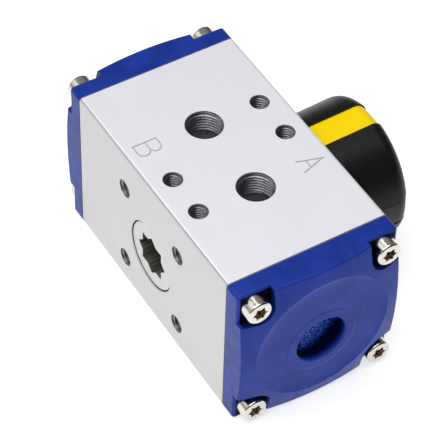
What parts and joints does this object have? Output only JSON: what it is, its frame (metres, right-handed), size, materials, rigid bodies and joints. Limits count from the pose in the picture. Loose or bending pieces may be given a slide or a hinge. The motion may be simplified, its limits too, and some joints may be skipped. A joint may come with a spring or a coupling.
{
  "type": "pneumatic rotary actuator",
  "caption": "Small double-acting rack-and-pinion pneumatic rotary actuator: silver housing, blue domed end caps, star drive socket and a black and yellow indicator knob.",
  "frame": {"origin": "where the drive shaft's axis meets the drive face, the one with the star socket", "axes": "+X along the cylinder bore, towards the cap near port A; +Y along the drive shaft, from the drive face to the indicator knob; +Z out of the face with the air ports. The actuator lies on its back face, at z = -0.0207."},
  "size_m": [0.0874, 0.0672, 0.0452],
  "materials": {
    "anodised_aluminium": "satin clear-anodised extrusion with faint draw lines along the bore",
    "blue_coated_aluminium": "satin blue coating over a die casting",
    "stainless_steel": "polished",
    "nickel_plated_steel": "turned and nickel plated",
    "spring_steel": "blackened",
    "cast_aluminium": "as cast, machined on the running faces",
    "bearing_plastic": "natural acetal",
    "black_rubber": "matt",
    "black_plastic": "satin moulded",
    "yellow_plastic": "satin moulded"
  },
  "bodies": {
    "housing": {"housing": "anodised_aluminium", "end_cap_right": "blue_coated_aluminium", "end_cap_left": "blue_coated_aluminium", "cap_screws_right": "stainless_steel", "cap_screws_left": "stainless_steel", "cap_gasket_right": "black_rubber", "cap_gasket_left": "black_rubber", "upper_bush": "bearing_plastic"},
    "shaft": {"drive_pinion": "nickel_plated_steel", "lower_bearing_ring": "black_plastic", "lower_shaft_seal": "black_rubber", "upper_shaft_seal": "black_rubber", "thrust_washer": "bearing_plastic", "retaining_ring": "spring_steel", "indicator_dome": "black_plastic", "indicator_yellow_strap": "yellow_plastic", "indicator_black_covers": "black_plastic", "indicator_screw": "stainless_steel"},
    "piston_right": {"piston_right": "cast_aluminium", "piston_seal_right": "black_rubber", "piston_guide_ring_right": "bearing_plastic", "rack_pad_right": "bearing_plastic"},
    "piston_left": {"piston_left": "cast_aluminium", "piston_seal_left": "black_rubber", "piston_guide_ring_left": "bearing_plastic", "rack_pad_left": "bearing_plastic"}
  },
  "joints": [
    {"name": "shaft_turn", "type": "hinge", "parent": "housing", "child": "shaft", "pos_m": [0, 0, 0], "axis": [0, 1, 0], "range_deg": [0, 90]},
    {"name": "piston_right_slide", "type": "slide", "parent": "housing", "child": "piston_right", "axis": [1, 0, 0], "range_m": [0, 0.01257]},
    {"name": "piston_left_slide", "type": "slide", "parent": "housing", "child": "piston_left", "axis": [-1, 0, 0], "range_m": [0, 0.01257]}
  ],
  "couplings": [
    {"joint": "piston_right_slide", "follows": "shaft_turn", "m_per_rad": 0.008},
    {"joint": "piston_left_slide", "follows": "shaft_turn", "m_per_rad": 0.008}
  ]
}
